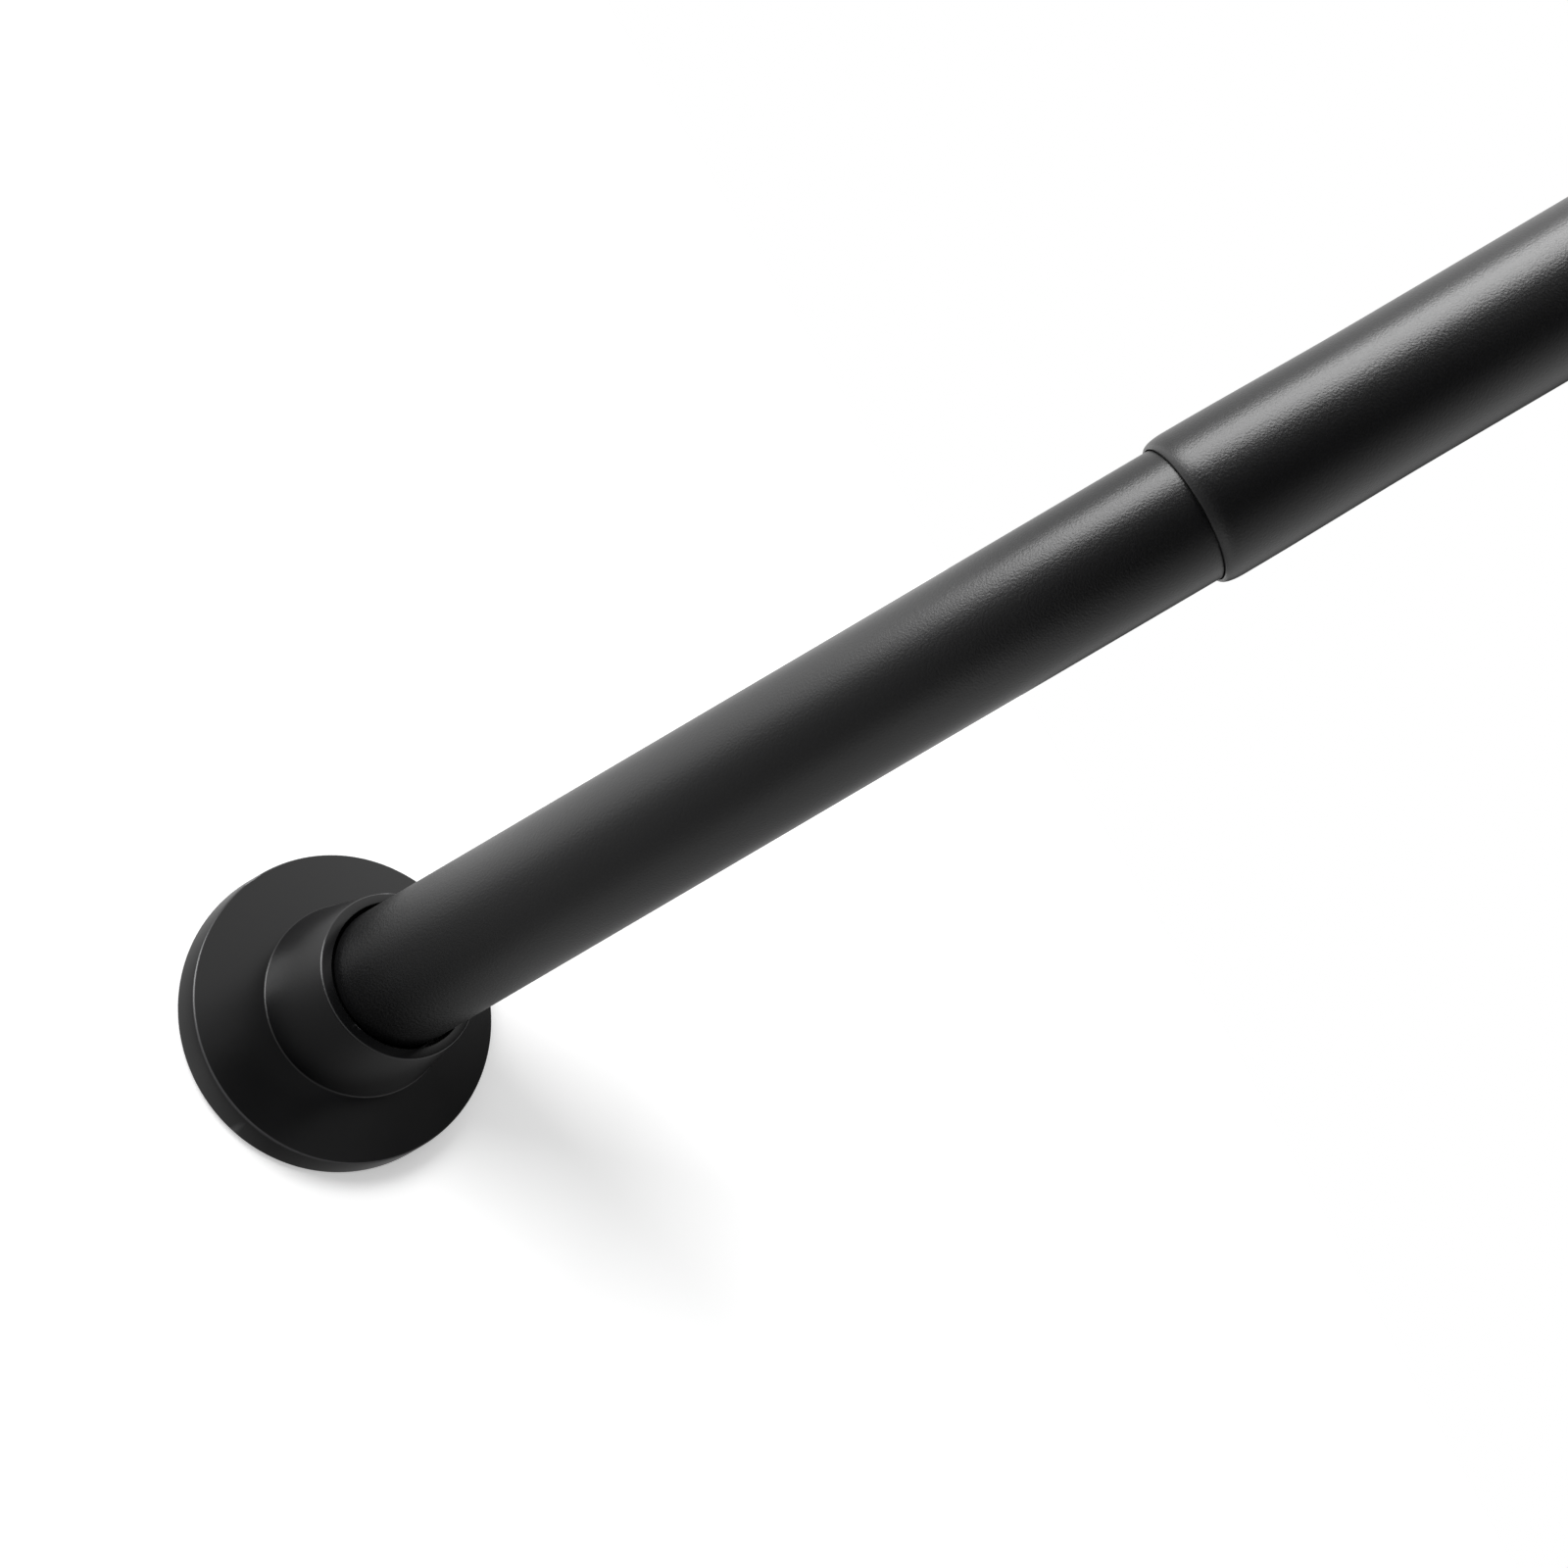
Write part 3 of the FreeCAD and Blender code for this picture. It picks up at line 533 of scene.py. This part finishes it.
TUBE_EDGE = 0.15

powder_coat, tree, shader, place, patches = new_finish(
    "satin_powder_coat", {"IOR": 1.5}, (POWDER_BLACK, POWDER_GREY),
    {"Scale": 1 / (POWDER_PATCH * MM), "Detail": 4.0})
grain = add_node(tree, "TexNoise", {"Scale": 1 / (POWDER_GRAIN * MM), "Detail": 1.0, "Roughness": 0.5},
                 {"Vector": place}).outputs["Fac"]
grain_relief = set_surface(tree, shader, grain, POWDER_RELIEF, grain, POWDER_ROUGHNESS)
peel = add_node(tree, "TexNoise", {"Scale": 1 / (POWDER_PEEL * MM), "Detail": 1.0}, {"Vector": place})
peel_relief = add_node(tree, "Bump", {"Strength": PEEL_STRENGTH, "Distance": PEEL_DEPTH * MM},
                       {"Height": peel.outputs["Fac"]})
tree.links.new(peel_relief.outputs[0], grain_relief.inputs["Normal"])


def crimp(middle, radius, direction):
    """Corners of a rolled ring groove, in the order of the given direction."""
    half_width = CRIMP_WIDTH / 2
    bottom = radius - CRIMP_DEPTH
    corners = [(middle - half_width, radius, CRIMP_ROUND), (middle - half_width / 2, bottom, CRIMP_ROUND),
               (middle + half_width / 2, bottom, CRIMP_ROUND), (middle + half_width, radius, CRIMP_ROUND)]
    return corners if direction > 0 else corners[::-1]


inner_start, inner_end = span_of("inner_tube")
inner_bore = inner_radius - INNER_WALL
first_crimp = inner_start + CRIMP_FROM_OUTER_END
last_crimp = inner_end - CRIMP_FROM_INNER_END
inner_tube = turned_piece("inner_tube_coated", [
    (inner_start, inner_bore, 0), (inner_start, inner_radius, TUBE_EDGE),
    *crimp(first_crimp, inner_radius, 1), *crimp(last_crimp, inner_radius, 1),
    (inner_end, inner_radius, TUBE_EDGE), (inner_end, inner_bore, 0),
    *crimp(last_crimp, inner_bore, -1), *crimp(first_crimp, inner_bore, -1),
], powder_coat)
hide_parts("inner_tube")
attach(inner_tube, "inner_tube")


# End plugs and guide bush: natural nylon, moulded. It is milky white and lets a little light in, with a faint
# flow pattern and a satin gloss. The crimps in the tubes hold them.
NYLON_MILK = "#e4e0d2"
NYLON_FLOW = "#d8d2c0"
NYLON_DEPTH = 0.8
NYLON_PATCH = 5.0
NYLON_SKIN = 0.6
NYLON_RELIEF = (0.15, 0.02)
NYLON_ROUGHNESS = (0.32, 0.46)

natural_nylon, tree, shader, place, flow = new_finish(
    "moulded_natural_nylon",
    {"IOR": 1.53, "Subsurface Weight": 0.25, "Subsurface Scale": NYLON_DEPTH * MM}, (NYLON_MILK, NYLON_FLOW),
    {"Scale": 1 / (NYLON_PATCH * MM), "Detail": 3.0, "Distortion": 1.2})
skin = add_node(tree, "TexNoise", {"Scale": 1 / (NYLON_SKIN * MM), "Detail": 2.0}, {"Vector": place})
set_surface(tree, shader, skin.outputs["Fac"], NYLON_RELIEF, flow, NYLON_ROUGHNESS)

for node in ("left_end_plug", "right_end_plug", "guide_bush"):
    dress(node, natural_nylon)


# Pivot screws: pan heads with a cross recess and a coarse thread that forms itself in the nylon. Each flange
# turns on one, with a washer under the head. They are steel, zinc plated in a barrel: bluish white, cloudy
# and softly glossy.
ZINC_BRIGHT = "#c9ccd0"
ZINC_CLOUD = "#a9adb3"
ZINC_PATCH = 3.0
ZINC_GRAIN = 0.25
ZINC_RELIEF = (0.12, 0.01)
ZINC_ROUGHNESS = (0.24, 0.4)
SCREW_THREAD = {"radius": 2.0, "pitch": 1.4, "depth": 0.55, "crest": 0.1, "root": 0.5}
SCREW_HEAD_HEIGHT = 1.6
SCREW_HEAD_ROUND = 0.7
SCREW_HEAD_STEPS = 64
RECESS_REACH = 2.1
RECESS_HALF_WIDTH = 0.45
RECESS_DEPTH = 1.0
THREAD_STEPS_ROUND = 36
THREAD_STEPS_PER_PITCH = 12
THREAD_SHARP = math.radians(35)

zinc_plate, tree, shader, place, cloud = new_finish(
    "clear_zinc_plate", {"Metallic": 1.0}, (ZINC_BRIGHT, ZINC_CLOUD),
    {"Scale": 1 / (ZINC_PATCH * MM), "Detail": 4.0})
barrel = add_node(tree, "TexNoise", {"Scale": 1 / (ZINC_GRAIN * MM), "Detail": 2.0}, {"Vector": place})
set_surface(tree, shader, barrel.outputs["Fac"], ZINC_RELIEF, cloud, ZINC_ROUGHNESS)


def threaded_bar(name, start, end, material, radius, pitch, depth, crest, root):
    """Round bar with a rolled right-hand thread. Crest and root are the flats' shares of the pitch."""
    rows = round(abs(end - start) / pitch * THREAD_STEPS_PER_PITCH)
    rings = []
    for row in range(rows + 1):
        along = start + (end - start) * row / rows
        runout = min(1.0, min(row, rows - row) / THREAD_STEPS_PER_PITCH)
        ring = []
        for step in range(THREAD_STEPS_ROUND):
            turned_by = step / THREAD_STEPS_ROUND
            from_crest = 1 - abs(2 * ((along / pitch - turned_by) % 1.0) - 1)
            flank = min(1.0, max(0.0, (from_crest - crest) / (1 - crest - root)))
            here = (radius - depth * (1 - runout * (1 - flank))) * MM
            angle = 2 * math.pi * turned_by
            ring.append((along * MM, here * math.cos(angle), here * math.sin(angle)))
        rings.append(ring)
    return skin_rings(name, rings, material, THREAD_SHARP, closed=False)


def cut_away(piece, low, high):
    """Cuts a box, given by its corners in millimetres, out of a piece."""
    xs, ys, zs = zip(low, high)
    shape = bmesh.new()
    for corner in [(x, y, z) for x in xs for y in ys for z in zs]:
        shape.verts.new([measure * MM for measure in corner])
    bmesh.ops.convex_hull(shape, input=shape.verts)
    mesh = bpy.data.meshes.new("cutter")
    shape.to_mesh(mesh)
    shape.free()
    cutter = put_in_scene("cutter", mesh)
    cut = piece.modifiers.new("cut", "BOOLEAN")
    cut.operation = "DIFFERENCE"
    cut.solver = "EXACT"
    cut.object = cutter
    bpy.context.view_layer.objects.active = piece
    bpy.ops.object.modifier_apply(modifier=cut.name)
    bpy.data.objects.remove(cutter)


def pivot_screw(node, body, wall_side):
    """Pan head and thread of one pivot screw. `wall_side` is -1 where its wall lies back along the rod."""
    start, end = span_of(node)
    top_of_head, tip = (start, end) if wall_side < 0 else (end, start)
    seat = top_of_head - wall_side * SCREW_HEAD_HEIGHT
    head_radius = radius_of(node)
    head = turned_piece(node + "_head", [
        (top_of_head, 0, 0), (top_of_head, head_radius, SCREW_HEAD_ROUND),
        (seat, head_radius, 0), (seat, 0, 0),
    ], zinc_plate, steps=SCREW_HEAD_STEPS)
    low, high = sorted((top_of_head - wall_side * RECESS_DEPTH, top_of_head + wall_side))
    for y, z in ((RECESS_REACH, RECESS_HALF_WIDTH), (RECESS_HALF_WIDTH, RECESS_REACH)):
        cut_away(head, (low, -y, -z), (high, y, z))
    shank = threaded_bar(node + "_thread", seat, tip, zinc_plate, **SCREW_THREAD)
    for piece in (head, shank):
        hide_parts(node)
        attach(piece, body)


pivot_screw("left_pivot_screw", "inner_tube", -1)
pivot_screw("right_pivot_screw", "outer_tube", 1)
dress("left_pivot_washer", zinc_plate)
dress("right_pivot_washer", zinc_plate)


# Spindle: one turned steel bar, zinc plated. Its hexagon slides in the bush, its collar takes the spring's
# push and its threaded end carries the cone. The stop nut holds it back in the bush, and washers spread the
# spring's load.
HEX_ACROSS_FLATS = 7.0
HEX_SIDES = 6
STEM_RADIUS = 3.5
BAR_THREAD = {"radius": 3.0, "pitch": 1.0, "depth": 0.54, "crest": 0.125, "root": 0.25}
CLIP_GROOVE_RADIUS = 3.1
CLIP_GROOVE_ROOM = 0.05
SPRING_COLLAR_RADIUS = 8.5
SPRING_COLLAR_BREAK = 0.6
SPRING_COLLAR_STEPS = 96

bar_start, bar_end = span_of("spindle")
hex_start = span_of("travel_stop_washer")[1]
collar_start = span_of("collar_spring_washer")[1]
collar_end = span_of("thrust_washer")[0]
clip_start, clip_end = span_of("sleeve_clip")
groove_start = clip_start - CLIP_GROOVE_ROOM
groove_end = clip_end + CLIP_GROOVE_ROOM
stop_thread = threaded_bar("spindle_stop_thread", bar_start, hex_start, zinc_plate, **BAR_THREAD)
cone_thread = threaded_bar("spindle_cone_thread", groove_end, bar_end, zinc_plate, **BAR_THREAD)
hex_corner = HEX_ACROSS_FLATS / math.sqrt(3)
hexagon = turned_piece("spindle_hexagon", [
    (hex_start, 0, 0), (hex_start, hex_corner, 0), (collar_start, hex_corner, 0), (collar_start, 0, 0),
], zinc_plate, steps=HEX_SIDES)
hexagon.data.transform(Matrix.Rotation(math.radians(90), 4, "X"))
collar = turned_piece("spindle_collar", [
    (collar_start, 0, 0), (collar_start, SPRING_COLLAR_RADIUS, SPRING_COLLAR_BREAK),
    (collar_end, SPRING_COLLAR_RADIUS, SPRING_COLLAR_BREAK), (collar_end, STEM_RADIUS, 0),
    (groove_start, STEM_RADIUS, 0), (groove_start, CLIP_GROOVE_RADIUS, 0),
    (groove_end, CLIP_GROOVE_RADIUS, 0), (groove_end, 0, 0),
], zinc_plate, steps=SPRING_COLLAR_STEPS)
for piece in (stop_thread, hexagon, collar, cone_thread):
    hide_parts("spindle")
    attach(piece, "spindle")
for node in ("travel_stop_nut", "travel_stop_washer", "bush_spring_washer", "collar_spring_washer",
             "thrust_washer", "cone_stop_nut"):
    dress(node, zinc_plate)


# Coil spring and the sleeve's clip: spring steel, bare and oiled, dark grey with fine drawing lines. The
# spring is wound from round wire with a closed turn at each end.
WIRE_RADIUS = 0.75
SPRING_TURNS = 8
SPRING_END_TURNS = 1
SPRING_END_RISE = 1.53
WIRE_STEPS_PER_TURN = 60
WIRE_STEPS_ROUND = 14
WIRE_SHARP = math.radians(50)
DRAWN_STEEL = "#76787c"
OILED_STEEL = "#5a5c60"
OIL_PATCH = 4.0
DRAWING_LINE = 0.08
DRAWING_LENGTH = 2.0
DRAWING_RELIEF = (0.2, 0.01)
DRAWN_ROUGHNESS = (0.22, 0.34)

drawn_steel, tree, shader, place, oil = new_finish(
    "oiled_drawn_spring_steel", {"Metallic": 1.0}, (DRAWN_STEEL, OILED_STEEL),
    {"Scale": 1 / (OIL_PATCH * MM), "Detail": 3.0})
along_wire = 1 / (DRAWING_LENGTH * MM)
lines = add_node(tree, "Mapping", {"Scale": (1 / (DRAWING_LINE * MM), along_wire, along_wire)},
                 {"Vector": place})
drawing = add_node(tree, "TexNoise", {"Scale": 1.0, "Detail": 2.0}, {"Vector": lines.outputs[0]})
set_surface(tree, shader, drawing.outputs["Fac"], DRAWING_RELIEF, oil, DRAWN_ROUGHNESS)

spring_start, spring_end = span_of("coil_spring")
coil_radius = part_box("coil_spring")[1].y / MM - WIRE_RADIUS
open_turns = SPRING_TURNS - 2 * SPRING_END_TURNS
open_length = spring_end - spring_start - 2 * WIRE_RADIUS - 2 * SPRING_END_TURNS * SPRING_END_RISE
rings = []
for step in range(SPRING_TURNS * WIRE_STEPS_PER_TURN + 1):
    turns = step / WIRE_STEPS_PER_TURN
    opened = min(max(turns - SPRING_END_TURNS, 0), open_turns)
    along = (spring_start + WIRE_RADIUS + opened * (open_length / open_turns)
             + (turns - opened) * SPRING_END_RISE)
    angle = 2 * math.pi * turns
    outwards = Vector((0, math.cos(angle), math.sin(angle)))
    ring = []
    for spot in range(WIRE_STEPS_ROUND):
        round_wire = 2 * math.pi * spot / WIRE_STEPS_ROUND
        point = along_rod * (along + WIRE_RADIUS * math.sin(round_wire))
        ring.append((point + outwards * (coil_radius + WIRE_RADIUS * math.cos(round_wire))) * MM)
    rings.append(ring)
spring_wire = skin_rings("coil_spring_wire", rings, drawn_steel, WIRE_SHARP, closed=False)
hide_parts("coil_spring")
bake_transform(spring_wire)
dress("sleeve_clip", drawn_steel)


# Expander sleeve and cone: a slotted nylon sleeve that turns on the spindle's stem, and a turned brass cone
# with a wide head. A twist draws the cone into the sleeve, and its jaws grip the outer tube from inside. The
# brass is warm yellow, dulled by handling, with lathe lines drawn as coarse as they need to show.
BRASS_BRIGHT = "#c9a554"
BRASS_DULL = "#b08f47"
BRASS_PATCH = 5.0
LATHE_LINE = 0.754
WAVELENGTH_AT_SCALE_ONE = math.pi / 10
LATHE_RELIEF = (0.25, 0.01)
BRASS_ROUGHNESS = (0.2, 0.36)

turned_brass, tree, shader, place, tarnish = new_finish(
    "turned_brass", {"Metallic": 1.0}, (BRASS_BRIGHT, BRASS_DULL),
    {"Scale": 1 / (BRASS_PATCH * MM), "Detail": 4.0})
cuts = add_node(tree, "TexWave", {"Scale": WAVELENGTH_AT_SCALE_ONE / (LATHE_LINE * MM),
                                  "Distortion": 0.3}, {"Vector": place}, bands_direction="X")
set_surface(tree, shader, cuts.outputs["Fac"], LATHE_RELIEF, tarnish, BRASS_ROUGHNESS)

dress("expander_sleeve", natural_nylon)
dress("cone_nut", turned_brass)


# Outer tube: the same coated steel, one size wider. Its mouth is swelled a little and rolled in to a soft lip
# that runs close round the inner tube.
OUTER_WALL = 0.6
TUBE_CLEARANCE = 0.2
MOUTH_LIP_WALL = 0.25
MOUTH_LIP_LENGTH = 3.0
MOUTH_SWELL_LENGTH = 37.0
LIP_STEPS = 12
SWELL_STEPS = 8

outer_start, outer_end = span_of("outer_tube")
lip_radius = radius_of("outer_tube")
outer_bore = inner_radius + TUBE_CLEARANCE
outer_radius = outer_bore + OUTER_WALL
face_radius = outer_bore + MOUTH_LIP_WALL
mouth = []
for step in range(LIP_STEPS + 1):
    angle = math.pi / 2 * step / LIP_STEPS
    mouth.append((outer_start + MOUTH_LIP_LENGTH * (1 - math.cos(angle)),
                  face_radius + (lip_radius - face_radius) * math.sin(angle), 0))
for step in range(1, SWELL_STEPS + 1):
    share = step / SWELL_STEPS
    ease = share * share * (3 - 2 * share)
    mouth.append((outer_start + MOUTH_LIP_LENGTH + (MOUTH_SWELL_LENGTH - MOUTH_LIP_LENGTH) * share,
                  lip_radius + (outer_radius - lip_radius) * ease, 0))
end_crimp = outer_end - CRIMP_FROM_OUTER_END
outer_tube = turned_piece("outer_tube_coated", [
    (outer_start, outer_bore, 0), *mouth, *crimp(end_crimp, outer_radius, 1),
    (outer_end, outer_radius, TUBE_EDGE), (outer_end, outer_bore, 0), *crimp(end_crimp, outer_bore, -1),
], powder_coat)
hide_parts("outer_tube")
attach(outer_tube, "outer_tube")


# Right flange: the same moulding as the left one, with a wider collar for the outer tube. It turns on the
# other pivot screw.
right_back = span_of("right_flange")[1]
right_flange = turned_piece("right_flange_moulding", flange_outline(right_back, -1, outer_radius),
                            moulded_abs)
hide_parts("right_flange")
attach(right_flange, "right_wall_end")
